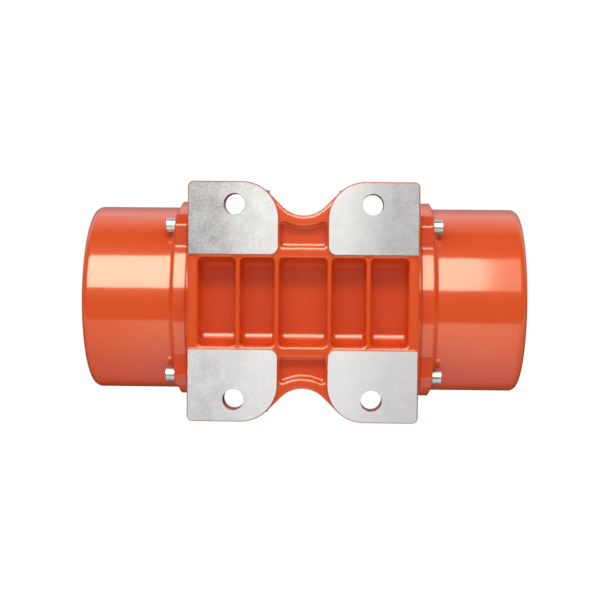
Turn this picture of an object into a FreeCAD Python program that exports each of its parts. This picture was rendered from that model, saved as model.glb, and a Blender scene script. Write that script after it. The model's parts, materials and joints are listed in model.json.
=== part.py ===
import FreeCAD, Part
import math
import os
import re

import Sketcher

# External vibration motor, M16 foot pattern 120 x 170 mm. Millimetres, +Z up, feet on z = 0,
# +X along the shaft. Every piece is a body whose sketches are bound to the sheet below.
# Pieces that sit at both ends are drawn once, for the right end, and placed turned for the left.

SIZES = {
    # shaft line and housing barrel
    "axis_height": 105, "case_half": 104, "barrel_r": 76, "bore_r": 65,
    "end_flange_r": 91, "end_flange_width": 9.5, "flange_root_r": 3.5, "spigot_depth": 6, "spigot_r": 80,
    # square lugs shared by the housing and the covers
    "lug_half": 77.3, "lug_corner": 9.5, "lug_edge_r": 2, "seat_play": 0.6, "cover_bolt_r": 95,
    # feet and their machined pads
    "foot_half_x": 101, "foot_half_y": 105, "foot_top": 20, "skin": 2.5, "foot_corner_r": 5,
    "pad_in_y": 41.5, "pad_corner_r": 7, "foot_arc_r": 33, "foot_arc_x": 54,
    "foot_hole_x": 60, "foot_hole_y": 85, "foot_hole_r": 9.25, "spot_face_r": 17, "spot_face_depth": 1,
    # scallops between the feet, with the rim that borders them
    "scallop_r": 26, "scallop_y": 101.5, "rim_width": 9.5, "web_half_x": 20, "web_floor": 12,
    # rails, end walls and ribs under the barrel
    "rail_in_y": 39, "rail_out_y": 48.5, "wall_in_x": 92, "wall_out_x": 101, "rib_x": 23, "outer_rib_x": 57,
    "rib_width": 4, "rib_top": 58, "pocket_top": 28, "draft": 3, "pocket_floor_r": 10, "rib_root_r": 4,
    "web_corner_r": 3, "web_floor_r": 2, "skin_edge_r": 2.2, "rib_edge_r": 1.7, "pad_inset": 1,
    # gussets from the feet up to the barrel
    "gusset_width": 8, "outer_gusset_x": 93, "inner_gusset_x": 31, "gusset_foot_y": 98, "gusset_low": 27,
    "gusset_side_y": 75.5, "gusset_side_z": 92,
    # terminal box
    "box_half_x": 55, "box_half_y": 42, "box_top": 216.5, "box_bottom": 150, "box_wall": 7, "box_floor": 185,
    "box_corner_r": 10, "box_boss": 12, "box_screw_inset": 7, "lead_hole_r": 4.5, "lead_hole_x": 47,
    # cover screws M8, flange screws M6, terminal cover screws M6
    "m8_r": 3.9, "m8_head_r": 6.5, "m8_head": 8, "m8_hex": 3.46, "m8_length": 22, "m8_tap_r": 4,
    "m8_hole_r": 4.5, "m6_r": 2.9, "m6_head_r": 5, "m6_head": 6, "m6_hex": 2.89, "m6_length": 16,
    "m6_tap_r": 3, "m6_hole_r": 3.3, "flange_bolt_r": 71.5, "flange_bolt_count": 6, "cover_bolt_count": 4,
    # bearing flange
    "hub_inner_x": 77, "hub_r": 46, "spigot_inner_x": 90, "flange_out_x": 110, "recess_x": 104,
    "recess_out_r": 66, "recess_in_r": 48,
    # weight cover
    "cover_r": 85.5, "cover_wall": 4, "cover_end": 198, "cover_flange": 11.5, "cover_step": 3, "cover_rim_r": 6.4,
    "cover_fit": 0.2, "cover_lip_x": 112, "seal_x": 105, "seal_width": 3, "seal_depth": 2.5,
    # cylindrical roller bearing 35 x 80 x 21
    "bearing_x": 95, "bearing_half": 10.5, "bearing_bore_r": 17.5, "bearing_r": 40, "pitch_r": 28.75,
    "roller_r": 5.6, "roller_half": 6.5, "roller_count": 12, "race_gap": 0.12, "outer_lip_r": 31.9,
    "inner_lip_r": 25.8, "cage_in_r": 26.3, "cage_out_r": 31.4, "cage_half": 8.6, "roller_play": 0.35,
    "circlip_width": 1.75, "circlip_groove_r": 42, "circlip_in_r": 36.5, "circlip_gap": 9,
    # shaft seal
    "seal_lip_r": 22.1, "shaft_seal_r": 31, "shaft_seal_width": 6.5, "shaft_seal_wall": 1.5,
    # shaft
    "shaft_mid_r": 22, "shaft_mid_half": 84.5, "shaft_journal_end": 108, "shaft_end_r": 15, "shaft_half": 186,
    "shaft_chamfer": 1.5, "spacer_r": 24, "spacer_start": 105.5, "spacer_end": 113, "shaft_clip_x": 181,
    "shaft_clip_width": 1.6, "shaft_clip_groove_r": 14.2, "shaft_clip_r": 19.5, "shaft_clip_gap": 12,
    # eccentric weights and their keys and clamp screws
    "fixed_weight_x": 114, "adjustable_weight_x": 148.5, "weight_width": 32, "weight_r": 75,
    "weight_sweep": 76, "ear_half": 25, "ear_top": 33, "ear_low": 6, "weight_slit": 2, "weight_play": 0.06,
    "clamp_height": 24, "m10_r": 5, "m10_play": 0.3, "m10_head_r": 8, "m10_head": 10, "m10_hex": 4.62,
    "m10_length": 44, "key_half": 4, "key_in": 11, "key_out": 18, "key_margin": 2,
    # rotor and stator
    "rotor_r": 34.5, "stator_r": 35, "core_half": 46, "end_ring_r": 33.2, "end_ring_in_r": 25, "end_ring_width": 9,
    "bar_count": 20, "bar_half": 1.6, "bar_in_r": 26, "bar_out_r": 33, "slot_count": 24, "slot_mouth_half": 1.2,
    "slot_mouth_r": 36.6, "slot_in_half": 2.9, "slot_out_half": 4.4, "slot_out_r": 50, "coil_overhang": 22,
    "coil_in_r": 38, "coil_out_r": 53, "coil_round": 4,
    # terminal box contents
    "gasket": 1.5, "lid": 5, "lid_over": 1.5, "lid_edge_r": 2, "lid_pad_inset": 17, "lid_pad": 2,
    "block_half_x": 26, "block_half_y": 15, "block_height": 8, "stud_x": 16, "stud_y": 7.5, "stud_r": 2.4,
    "stud_top": 17, "nut_r": 4.6, "nut_height": 4, "earth_x": 38, "earth_r": 2.9, "earth_head_r": 5.5,
    "earth_height": 5,
    # cable gland M20
    "gland_z": 202.5, "gland_r": 9.9, "gland_hole_r": 10, "gland_boss_r": 13.4, "gland_boss": 4,
    "gland_hex_r": 13.2, "gland_hex": 6, "gland_neck_r": 9, "gland_neck": 9, "gland_bore_r": 6,
    "gland_nut_r": 13.2, "gland_nut": 14, "gland_seal_out_r": 8, "gland_seal_in_r": 5, "gland_wall": 1.2,
}

doc = FreeCAD.newDocument("vibration_motor")
sheet = doc.addObject("Spreadsheet::Sheet", "sizes")
for row, (alias, size) in enumerate(SIZES.items(), start=1):
    sheet.set("A%d" % row, alias)
    sheet.set("B%d" % row, str(size))
    sheet.setAlias("B%d" % row, alias)
doc.recompute()

parts = []


# ---------------------------------------------------------------- helpers

def formula(text):
    """The text with every alias of the sheet spelled as an expression needs it."""
    return re.sub(r"[a-z][a-z_0-9]*", lambda m: "sizes." + m[0] if m[0] in SIZES else m[0], str(text))


def value(text):
    """What a formula comes to, in millimetres or degrees."""
    return float(sheet.evalExpression(formula(text)))


def vector(across, up):
    return FreeCAD.Vector(value(across), value(up), 0)


def new_body(label, height="axis_height", turn=0, tilt=0):
    """A body whose frame stands at a height, turned about Z for the left end and tilted about X."""
    body = doc.addObject("PartDesign::Body", label)
    body.Label = label
    about_z = FreeCAD.Rotation(FreeCAD.Vector(0, 0, 1), turn)
    about_x = FreeCAD.Rotation(FreeCAD.Vector(1, 0, 0), tilt)
    body.Placement = FreeCAD.Placement(FreeCAD.Vector(0, 0, value(height)), about_z.multiply(about_x))
    body.setExpression(".Placement.Base.z", formula(height))
    parts.append(body)
    return body


def origin_feature(body, role):
    return next(feature for feature in body.Origin.OriginFeatures if feature.Role == role)


def new_sketch(body, name, plane, lift="0", rise="0"):
    """A sketch on one of the body's planes, lifted off it, with its own origin moved up in the plane."""
    sketch = body.newObject("Sketcher::SketchObject", name)
    sketch.AttachmentSupport = [(origin_feature(body, plane), "")]
    sketch.MapMode = "FlatFace"
    sketch.setExpression(".AttachmentOffset.Base.z", formula(lift))
    sketch.setExpression(".AttachmentOffset.Base.y", formula(rise))
    return sketch


def bind(sketch, kind, what, text):
    """One dimension of a sketch, bound to a formula."""
    index = sketch.addConstraint(Sketcher.Constraint(kind, *what, value(text)))
    label = "%s_%d" % (kind.lower(), index)
    sketch.renameConstraint(index, label)
    sketch.setExpression(".Constraints." + label, formula(text))


def pin(sketch, geometry, end, across, up):
    """Hold a point of the sketch at its coordinates."""
    bind(sketch, "DistanceX", (-1, 1, geometry, end), across)
    bind(sketch, "DistanceY", (-1, 1, geometry, end), up)


def polygon(sketch, corners):
    """A closed outline of straight lines through corners given as formulas."""
    points = [vector(across, up) for across, up in corners]
    first = sketch.GeometryCount
    for start, end in zip(points, points[1:] + points[:1]):
        sketch.addGeometry(Part.LineSegment(start, end), False)
    count = len(points)
    for i in range(count):
        sketch.addConstraint(Sketcher.Constraint("Coincident", first + i, 2, first + (i + 1) % count, 1))
        pin(sketch, first + i, 1, *corners[i])


def rectangle(sketch, left, right, bottom, top):
    polygon(sketch, [(left, bottom), (right, bottom), (right, top), (left, top)])


def circle(sketch, across, up, radius):
    index = sketch.addGeometry(Part.Circle(vector(across, up), FreeCAD.Vector(0, 0, 1), value(radius)), False)
    pin(sketch, index, 3, across, up)
    bind(sketch, "Radius", (index,), radius)


def hexagon(sketch, across, up, radius):
    """A regular hexagon given by the radius of its corners."""
    polygon(sketch, [("%s + %s * cos(%d)" % (across, radius, angle), "%s + %s * sin(%d)" % (up, radius, angle))
                     for angle in range(0, 360, 60)])


def feature(body, kind, name, sketch=None, cuts=False, **settings):
    """Add a feature and set its properties or their formulas; one that should cut has to take volume away."""
    if sketch:
        sketch.recompute()
    before = body.Tip.Shape.Volume if cuts else 0
    made = body.newObject("PartDesign::" + kind, name)
    if sketch:
        made.Profile = sketch
    for setting, content in settings.items():
        if isinstance(content, str):
            made.setExpression(setting, formula(content))
        else:
            setattr(made, setting, content)
    body.Tip = made
    doc.recompute()
    if cuts and made.Shape.Volume > before - 0.1:
        raise ValueError("%s of %s cuts nothing" % (name, body.Label))
    return made


def pad(body, name, sketch, length, **settings):
    return feature(body, "Pad", name, sketch, Length=length, **settings)


def pocket(body, name, sketch, depth, **settings):
    return feature(body, "Pocket", name, sketch, True, Length=depth, **settings)


def turned(body, name, corners, rise="0", cut=False):
    """Revolve a profile of (place along the axis, radius) corners about the X axis of its sketch."""
    sketch = new_sketch(body, name + "_profile", "XZ_Plane", rise=rise)
    polygon(sketch, corners)
    kind = "Groove" if cut else "Revolution"
    return feature(body, kind, name, sketch, cut, ReferenceAxis=(sketch, ["H_Axis"]), Angle=360)


def around_x(body, name, originals, count):
    """Repeat features evenly about the body's X axis."""
    axis = (origin_feature(body, "X_Axis"), [""])
    return feature(body, "PolarPattern", name, Originals=originals, Axis=axis, Angle=360, Occurrences=count)


def mirrored(body, name, originals, plane):
    return feature(body, "Mirrored", name, Originals=originals,
                   MirrorPlane=(origin_feature(body, plane), [""]))


def four_ways(body, name, originals):
    """Repeat features of the first quadrant in the other three."""
    flips = []
    for role in ("YZ_Plane", "XZ_Plane"):
        flip = doc.addObject("PartDesign::Mirrored", name + "_" + role[:2].lower())
        flip.MirrorPlane = (origin_feature(body, role), [""])
        flips.append(flip)
    return feature(body, "MultiTransform", name, Originals=originals, Transformations=flips)


def edges(body, chosen):
    return ["Edge%d" % (i + 1) for i, edge in enumerate(body.Tip.Shape.Edges) if chosen(edge)]


def rounded(body, name, chosen, radius, kind="Fillet"):
    """Fillet or chamfer the edges of the tip that a test picks."""
    base = (body.Tip, edges(body, chosen))
    size = {"Radius" if kind == "Fillet" else "Size": radius}
    return feature(body, kind, name, Base=base, **size)


def middle(edge):
    return edge.valueAt((edge.FirstParameter + edge.LastParameter) / 2)


def is_along(edge, axis):
    """A straight edge along one of the axes."""
    if edge.Curve.TypeId != "Part::GeomLine":
        return False
    return abs(getattr(edge.tangentAt(edge.FirstParameter), axis)) > 0.99


def is_upright(edge):
    return is_along(edge, "z")


def is_ring(x, radius):
    """A test for the full circle about the X axis at x with a radius."""
    place, size = value(x), value(radius)

    def test(edge):
        if edge.Curve.TypeId != "Part::GeomCircle":
            return False
        return abs(edge.Curve.Radius - size) < 0.01 and abs(abs(edge.Curve.Center.x) - place) < 0.01
    return test


SIDES = (("right", 0), ("left", 180))

# derived places that several sketches share
FOOT_ARC_Y = "(foot_half_y - foot_arc_r)"
PAD_OUT_X = "(foot_half_x - pad_inset)"
PAD_OUT_Y = "(foot_half_y - pad_inset)"
CORNER_X = "(foot_half_x - foot_corner_r)"
CORNER_Y = "(foot_half_y - foot_corner_r)"
RAIL_MID_Y = "(rail_in_y + rail_out_y) / 2"
BOX_SCREW_X = "(box_half_x - box_screw_inset)"
BOX_SCREW_Y = "(box_half_y - box_screw_inset)"
RIM_R = "(scallop_r + rim_width)"
WEB_SIDE_Y = "scallop_y - sqrt((scallop_r + rim_width) ^ 2 - web_half_x ^ 2)"


# ---------------------------------------------------------------- housing

def lug_outline(sketch):
    """The square with cut corners that carries the four cover screws."""
    half, short = "lug_half", "(lug_half - lug_corner)"
    corners = [(half, short), (short, half), ("-" + short, half), ("-" + half, short),
               ("-" + half, "-" + short), ("-" + short, "-" + half), (short, "-" + half), (half, "-" + short)]
    polygon(sketch, corners)


def chain(sketch, pieces, tangent=()):
    """Draw lines and arcs that follow each other round a closed outline; some joints are tangent."""
    for piece in pieces:
        sketch.addGeometry(piece, False)
    count = len(pieces)

    def end_near(i, point):
        return 1 if sketch.Geometry[i].StartPoint.distanceToPoint(point) < 1e-6 else 2

    joints = []
    for i in range(count):
        k = (i + 1) % count
        ends = [sketch.Geometry[i].StartPoint, sketch.Geometry[i].EndPoint]
        others = [sketch.Geometry[k].StartPoint, sketch.Geometry[k].EndPoint]
        shared = next(a for a in ends if any(a.distanceToPoint(b) < 1e-6 for b in others))
        kind = "Tangent" if i in tangent else "Coincident"
        joint = (i, end_near(i, shared), k, end_near(k, shared))
        sketch.addConstraint(Sketcher.Constraint(kind, *joint))
        joints.append(joint)
    return joints


def quarter_foot_outline(sketch):
    """A quarter of the plan of the feet, with half of a scallop.

    The scallop is a concave arc about a point on the Y axis, and a common tangent joins it to the convex arc
    of the foot.
    """
    arc_r, dip_r = value("foot_arc_r"), value("scallop_r")
    foot_centre, dip_centre = vector("foot_arc_x", FOOT_ARC_Y), vector("0", "scallop_y")
    between = foot_centre - dip_centre
    lean = math.atan2(between.y, between.x) - math.acos((arc_r + dip_r) / between.Length)
    aim = FreeCAD.Vector(math.cos(lean), math.sin(lean), 0)
    on_foot, on_dip = foot_centre - aim * arc_r, dip_centre + aim * dip_r
    top, corner, side = vector("foot_arc_x", "foot_half_y"), vector("foot_half_x", "foot_half_y"), \
        vector("foot_half_x", RAIL_MID_Y)
    dip_low, origin = vector("0", "scallop_y - scallop_r"), vector("0", RAIL_MID_Y)
    up = FreeCAD.Vector(0, 0, 1)
    joints = chain(sketch, [
        Part.LineSegment(origin, side), Part.LineSegment(side, corner), Part.LineSegment(corner, top),
        Part.ArcOfCircle(Part.Circle(foot_centre, up, arc_r), math.pi / 2, math.pi + lean),
        Part.LineSegment(on_foot, on_dip),
        Part.ArcOfCircle(Part.Circle(dip_centre, up, dip_r), 1.5 * math.pi, 2 * math.pi + lean),
        Part.LineSegment(dip_low, origin)], tangent=(3, 4))
    pin(sketch, 0, 1, "0", RAIL_MID_Y)
    pin(sketch, 1, 1, "foot_half_x", RAIL_MID_Y)
    pin(sketch, 2, 1, "foot_half_x", "foot_half_y")
    pin(sketch, 2, 2, "foot_arc_x", "foot_half_y")
    pin(sketch, 3, 3, "foot_arc_x", FOOT_ARC_Y)
    pin(sketch, 5, 3, "0", "scallop_y")
    bind(sketch, "Radius", (5,), "scallop_r")
    bind(sketch, "DistanceX", (-1, 1, joints[5][0], joints[5][1]), "0")


def pad_outline(sketch):
    """The machined pad of one foot, set in from the foot's outline: an arc by the scallop, a round outer corner."""
    arc_r, up = "(foot_arc_r - pad_inset)", FreeCAD.Vector(0, 0, 1)
    low_x = "(foot_arc_x - %s)" % arc_r
    corners = [("foot_arc_x", PAD_OUT_Y), (CORNER_X, PAD_OUT_Y), (PAD_OUT_X, CORNER_Y), (PAD_OUT_X, "pad_in_y"),
               (low_x, "pad_in_y"), (low_x, FOOT_ARC_Y)]
    arc_top, turn_start, turn_end, inner, low, arc_low = [vector(*corner) for corner in corners]
    turn_line = Part.Circle(vector(CORNER_X, CORNER_Y), up, value("foot_corner_r - pad_inset"))
    arc_line = Part.Circle(vector("foot_arc_x", FOOT_ARC_Y), up, value(arc_r))
    chain(sketch, [Part.LineSegment(arc_top, turn_start), Part.ArcOfCircle(turn_line, 0, math.pi / 2),
                   Part.LineSegment(turn_end, inner), Part.LineSegment(inner, low),
                   Part.LineSegment(low, arc_low), Part.ArcOfCircle(arc_line, math.pi / 2, math.pi)])
    for (line, end), corner in zip(((0, 1), (0, 2), (2, 1), (3, 1), (4, 1), (4, 2)), corners):
        pin(sketch, line, end, *corner)
    bind(sketch, "DistanceY", (-1, 1, 1, 3), CORNER_Y)
    bind(sketch, "DistanceY", (-1, 1, 5, 3), FOOT_ARC_Y)


def web_pocket_outline(sketch):
    """Half of the hollow behind the scallop's rim: straight sides and an arc that follows the rim."""
    low, inner = vector("0", "rail_out_y"), vector("web_half_x", "rail_out_y")
    outer, top = vector("web_half_x", WEB_SIDE_Y), vector("0", "scallop_y - " + RIM_R)
    centre = vector("0", "scallop_y")
    start = -math.pi / 2
    end = math.atan2(outer.y - centre.y, outer.x - centre.x)
    bow = Part.ArcOfCircle(Part.Circle(centre, FreeCAD.Vector(0, 0, 1), value(RIM_R)), start, end)
    chain(sketch, [Part.LineSegment(low, inner), Part.LineSegment(inner, outer), bow,
                   Part.LineSegment(top, low)])
    pin(sketch, 0, 1, "0", "rail_out_y")
    pin(sketch, 1, 1, "web_half_x", "rail_out_y")
    pin(sketch, 1, 2, "web_half_x", WEB_SIDE_Y)
    pin(sketch, 2, 3, "0", "scallop_y")
    bind(sketch, "DistanceX", (-1, 1, 3, 1), "0")


def box_inside_outline(sketch):
    """The room inside the terminal box, which leaves a square boss in each corner."""
    wide, narrow = "(box_half_x - box_wall)", "(box_half_x - box_boss)"
    deep, shallow = "(box_half_y - box_wall)", "(box_half_y - box_boss)"
    quarter = [(wide, shallow), (narrow, shallow), (narrow, deep)]
    corners = []
    for x_sign, y_sign in (("", ""), ("-", ""), ("-", "-"), ("", "-")):
        turned_corner = [(x_sign + across, y_sign + up) for across, up in quarter]
        corners += turned_corner if x_sign == y_sign else turned_corner[::-1]
    polygon(sketch, corners)


def rib_cells():
    """Left and right edges of the five pockets under the barrel."""
    half = "rib_width / 2"
    return [("-wall_in_x", "-outer_rib_x - " + half), ("-outer_rib_x + " + half, "-rib_x - " + half),
            ("-rib_x + " + half, "rib_x - " + half), ("rib_x + " + half, "outer_rib_x - " + half),
            ("outer_rib_x + " + half, "wall_in_x")]


def is_rail_wall(face):
    """A wall of a pocket under the barrel that runs along a rail."""
    spot = face.CenterOfMass
    flat = face.Surface.TypeId == "Part::GeomPlane" and abs(face.Surface.Axis.y) > 0.99
    return flat and abs(abs(spot.y) - value("rail_in_y")) < 0.01 and abs(spot.x) < value("wall_in_x")


def on_rail_floor(edge):
    """The line where a rail's wall meets the flat floor of a pocket."""
    return is_along(edge, "x") and abs(middle(edge).z - value("pocket_top")) < 0.01


def in_pockets(spot):
    """Within the plan of the five pockets and the ribs between them."""
    return abs(spot.x) < value("wall_in_x") + 0.01 and abs(spot.y) < value("rail_in_y")


def on_rib_wall(edge):
    """An edge inside a pocket, at its floor or its corners, that lies in the side of a rib."""
    first, last = edge.Vertexes[0].X, edge.Vertexes[-1].X
    spot = middle(edge)
    return in_pockets(spot) and abs(first - last) < 0.01 and value("skin + 0.5") < spot.z < value("pocket_top + 0.01")


def at_height(level):
    """A test for edges that lie in a level plane."""
    height = value(level)

    def test(edge):
        return max(abs(vertex.Z - height) for vertex in edge.Vertexes) < 0.01 and abs(middle(edge).z - height) < 0.01
    return test


def is_lug_edge(edge):
    """A corner of a square lug plate that runs along the shaft."""
    spot = middle(edge)
    reach = math.hypot(spot.y, spot.z - value("axis_height"))
    return is_along(edge, "x") and abs(reach - value("sqrt(lug_half ^ 2 + (lug_half - lug_corner) ^ 2)")) < 0.01


def in_web_corner(edge):
    """An upright corner of the hollow behind a scallop."""
    spot = middle(edge)
    inside = 1 < abs(spot.x) < value("web_half_x") + 0.01 and value("rail_out_y") - 0.01 < abs(spot.y)
    return is_along(edge, "z") and inside and value("skin") < spot.z < value("web_floor")


def make_housing():
    body = new_body("motor_housing", height="0")
    # rails, end walls and ribs: a block with five flat-bottomed pockets, drafted and well rounded by the rails
    sketch = new_sketch(body, "rail_plan", "XY_Plane", lift="skin")
    rectangle(sketch, "-wall_out_x", "wall_out_x", "-rail_out_y", "rail_out_y")
    pad(body, "rail_block", sketch, "rib_top - skin")
    sketch = new_sketch(body, "pocket_plan", "XY_Plane", lift="skin")
    for left, right in rib_cells():
        rectangle(sketch, left, right, "-rail_in_y", "rail_in_y")
    pocket(body, "rib_pockets", sketch, "pocket_top - skin", Reversed=True)
    walls = ["Face%d" % (i + 1) for i, face in enumerate(body.Tip.Shape.Faces) if is_rail_wall(face)]
    feature(body, "Draft", "rail_draft", Base=(body.Tip, walls), Angle="draft", Reversed=True,
            NeutralPlane=(origin_feature(body, "XY_Plane"), [""]))
    rounded(body, "pocket_floors", on_rail_floor, "pocket_floor_r")
    rounded(body, "rib_roots", on_rib_wall, "rib_root_r")

    # barrel with its end flanges, solid until the bore is made
    turned(body, "barrel", [
        ("-case_half", "0"), ("case_half", "0"), ("case_half", "end_flange_r"),
        ("case_half - end_flange_width", "end_flange_r"), ("case_half - end_flange_width", "barrel_r"),
        ("end_flange_width - case_half", "barrel_r"), ("end_flange_width - case_half", "end_flange_r"),
        ("-case_half", "end_flange_r")], rise="axis_height")
    rounded(body, "flange_roots", is_ring("case_half - end_flange_width", "barrel_r"), "flange_root_r")

    # square lugs at both ends
    sketch = new_sketch(body, "lug_plan", "YZ_Plane", lift="case_half - end_flange_width", rise="axis_height")
    lug_outline(sketch)
    lugs = pad(body, "lugs", sketch, "end_flange_width")
    mirrored(body, "both_lugs", [lugs], "YZ_Plane")
    rounded(body, "lug_edges", is_lug_edge, "lug_edge_r")

    # feet with the scallops, and the hollows behind the scallops' rims
    sketch = new_sketch(body, "foot_plan", "XY_Plane", lift="skin")
    quarter_foot_outline(sketch)
    foot = pad(body, "foot", sketch, "foot_top - skin")
    four_ways(body, "feet", [foot])
    rounded(body, "foot_corners", lambda edge: is_upright(edge) and abs(middle(edge).x) > 100
            and abs(middle(edge).y) > 100, "foot_corner_r")
    sketch = new_sketch(body, "web_plan", "XY_Plane", lift="web_floor")
    web_pocket_outline(sketch)
    web = pocket(body, "web_pocket", sketch, "web_floor")
    four_ways(body, "web_pockets", [web])
    rounded(body, "web_corners", in_web_corner, "web_corner_r")
    rounded(body, "web_floors", at_height("web_floor"), "web_floor_r")
    at_skin = at_height("skin")
    rounded(body, "rib_edges", lambda edge: at_skin(edge) and in_pockets(middle(edge)), "rib_edge_r")
    rounded(body, "skin_edges", lambda edge: at_skin(edge) and not in_pockets(middle(edge)), "skin_edge_r")

    # machined pads, and gussets from the feet up to the barrel
    sketch = new_sketch(body, "pad_plan", "XY_Plane")
    pad_outline(sketch)
    wings = [pad(body, "machined_pad", sketch, "skin + skin_edge_r + 1")]
    for name, place in (("outer_gusset", "outer_gusset_x"), ("inner_gusset", "inner_gusset_x")):
        sketch = new_sketch(body, name + "_plan", "YZ_Plane", lift=place)
        polygon(sketch, [("rail_in_y", "foot_top - 1"), ("gusset_foot_y", "foot_top - 1"),
                         ("gusset_foot_y", "gusset_low"), ("gusset_side_y", "gusset_side_z"),
                         ("gusset_side_y", "axis_height"), ("bore_r", "axis_height"), ("rail_in_y", "rib_top")])
        wings.append(pad(body, name, sketch, "gusset_width"))
    four_ways(body, "pads_and_gussets", wings)
    rounded(body, "pad_inner_corners", lambda edge: is_upright(edge) and middle(edge).z < value("skin")
            and abs(middle(edge).x) < value("rib_x") and abs(middle(edge).y) < value("rail_out_y"),
            "pad_corner_r")

    # terminal box on top, open upwards, with a boss in each corner for its screws
    sketch = new_sketch(body, "box_plan", "XY_Plane", lift="box_bottom")
    rectangle(sketch, "-box_half_x", "box_half_x", "-box_half_y", "box_half_y")
    pad(body, "terminal_box", sketch, "box_top - box_bottom")
    rounded(body, "box_corners", lambda edge: is_upright(edge) and edge.CenterOfMass.z > value("box_bottom")
            and abs(edge.CenterOfMass.x) < value("box_half_x") + 1, "box_corner_r")
    sketch = new_sketch(body, "box_inside_plan", "XY_Plane", lift="box_top")
    box_inside_outline(sketch)
    pocket(body, "box_inside", sketch, "box_top - box_floor")
    sketch = new_sketch(body, "gland_boss_plan", "YZ_Plane", lift="box_half_x - box_wall")
    circle(sketch, "0", "gland_z", "gland_boss_r")
    pad(body, "gland_boss", sketch, "box_wall + gland_boss")

    # bore, spigot seats, foot holes and spot faces
    turned(body, "bore", [("-case_half - 1", "0"), ("case_half + 1", "0"), ("case_half + 1", "spigot_r"),
                          ("case_half - spigot_depth", "spigot_r"), ("case_half - spigot_depth", "bore_r"),
                          ("spigot_depth - case_half", "bore_r"), ("spigot_depth - case_half", "spigot_r"),
                          ("-case_half - 1", "spigot_r")], rise="axis_height", cut=True)
    sketch = new_sketch(body, "foot_hole_plan", "XY_Plane")
    circle(sketch, "foot_hole_x", "foot_hole_y", "foot_hole_r")
    hole = pocket(body, "foot_hole", sketch, "foot_top + 1", Reversed=True)
    sketch = new_sketch(body, "spot_face_plan", "XY_Plane", lift="foot_top - spot_face_depth")
    circle(sketch, "foot_hole_x", "foot_hole_y", "spot_face_r")
    spot = pocket(body, "spot_face", sketch, "spot_face_depth + 1", Reversed=True)
    four_ways(body, "foot_holes", [hole, spot])

    # tapped holes for the covers, the bearing flanges and the terminal cover
    sketch = new_sketch(body, "cover_tap_plan", "YZ_Plane", lift="case_half", rise="axis_height")
    for across, up in ((1, 1), (1, -1), (-1, 1), (-1, -1)):
        circle(sketch, "%d * cover_bolt_r * cos(45)" % across, "%d * cover_bolt_r * sin(45)" % up, "m8_tap_r")
    cover_taps = pocket(body, "cover_taps", sketch, "end_flange_width + 1")
    sketch = new_sketch(body, "flange_tap_plan", "YZ_Plane", lift="case_half - spigot_depth", rise="axis_height")
    for turn in range(30, 390, 60):
        circle(sketch, "flange_bolt_r * cos(%d)" % turn, "flange_bolt_r * sin(%d)" % turn, "m6_tap_r")
    flange_taps = pocket(body, "flange_taps", sketch, "m6_length")
    mirrored(body, "end_taps", [cover_taps, flange_taps], "YZ_Plane")
    sketch = new_sketch(body, "box_tap_plan", "XY_Plane", lift="box_top")
    circle(sketch, BOX_SCREW_X, BOX_SCREW_Y, "m6_tap_r")
    tap = pocket(body, "box_tap", sketch, "m6_length")
    four_ways(body, "box_taps", [tap])
    sketch = new_sketch(body, "gland_hole_plan", "YZ_Plane", lift="box_half_x + gland_boss")
    circle(sketch, "0", "gland_z", "gland_hole_r")
    pocket(body, "gland_hole", sketch, "box_wall + gland_boss + 1")
    sketch = new_sketch(body, "lead_hole_plan", "XY_Plane", lift="box_floor + 1")
    circle(sketch, "lead_hole_x", "0", "lead_hole_r")
    pocket(body, "lead_hole", sketch, "box_wall * 4")


# ---------------------------------------------------------------- screws

def socket_screws(label, size, place, face, count, height="axis_height", turn=0, tilt=0):
    """A ring of socket-head screws whose heads seat on a face and whose shanks point back along X."""
    body = new_body(label, height, turn, tilt)
    sketch = new_sketch(body, "head_plan", "YZ_Plane", lift=face)
    circle(sketch, "0", place, size + "_head_r")
    head = pad(body, "head", sketch, size + "_head")
    sketch = new_sketch(body, "shank_plan", "YZ_Plane", lift=face)
    circle(sketch, "0", place, size + "_r")
    shank = pad(body, "shank", sketch, size + "_length", Reversed=True)
    sketch = new_sketch(body, "socket_plan", "YZ_Plane", lift="%s + %s_head" % (face, size))
    hexagon(sketch, "0", place, size + "_hex")
    socket = pocket(body, "socket", sketch, size + "_head / 2")
    around_x(body, "ring", [head, shank, socket], count)
    return body


def upright_screws(label, size, places, face):
    """Socket-head screws that stand along Z at four mirrored places, heads on a face."""
    body = new_body(label, "0")
    across, up = places
    sketch = new_sketch(body, "head_plan", "XY_Plane", lift=face)
    circle(sketch, across, up, size + "_head_r")
    head = pad(body, "head", sketch, size + "_head")
    sketch = new_sketch(body, "shank_plan", "XY_Plane", lift=face)
    circle(sketch, across, up, size + "_r")
    shank = pad(body, "shank", sketch, size + "_length", Reversed=True)
    sketch = new_sketch(body, "socket_plan", "XY_Plane", lift="%s + %s_head" % (face, size))
    hexagon(sketch, across, up, size + "_hex")
    socket = pocket(body, "socket", sketch, size + "_head / 2")
    four_ways(body, "four", [head, shank, socket])
    return body


# ---------------------------------------------------------------- pieces at each end

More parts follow.
